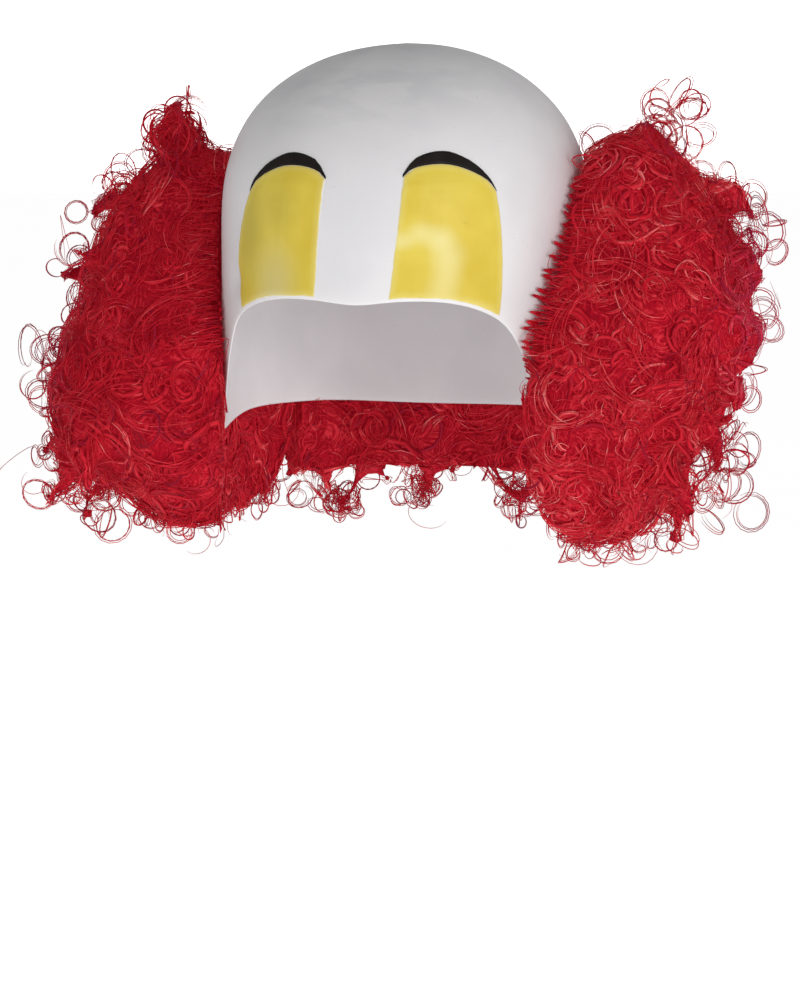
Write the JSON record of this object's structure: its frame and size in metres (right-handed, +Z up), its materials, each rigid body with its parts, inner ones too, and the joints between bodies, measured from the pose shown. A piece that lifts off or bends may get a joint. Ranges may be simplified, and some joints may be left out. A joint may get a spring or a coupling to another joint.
{
  "type": "clown wig",
  "caption": "White latex bald cap with painted yellow eye patches and black brows, and curly red hair at the sides and round the nape.",
  "frame": {"origin": "the inside of the crown, where the cap rests on the top of the head", "axes": "+Z up through the crown, -Y towards the face, +X towards the wearer's left"},
  "size_m": [0.3373, 0.2228, 0.2249],
  "materials": {
    "white_latex": "thin white latex, softly glossy, with faint mottling",
    "yellow_paint": "yellow rubber paint on latex, satin, slightly uneven",
    "black_paint": "black rubber paint on latex, satin",
    "red_hair": "curly synthetic fibre, bright red with pink highlights and dark depths"
  },
  "bodies": {
    "root": {"cap": "white_latex", "eye_patch_left": "yellow_paint", "eye_patch_right": "yellow_paint", "brow_left": "black_paint", "brow_right": "black_paint", "tuft_left": "red_hair", "tuft_right": "red_hair", "nape_fringe": "red_hair"}
  },
  "joints": []
}
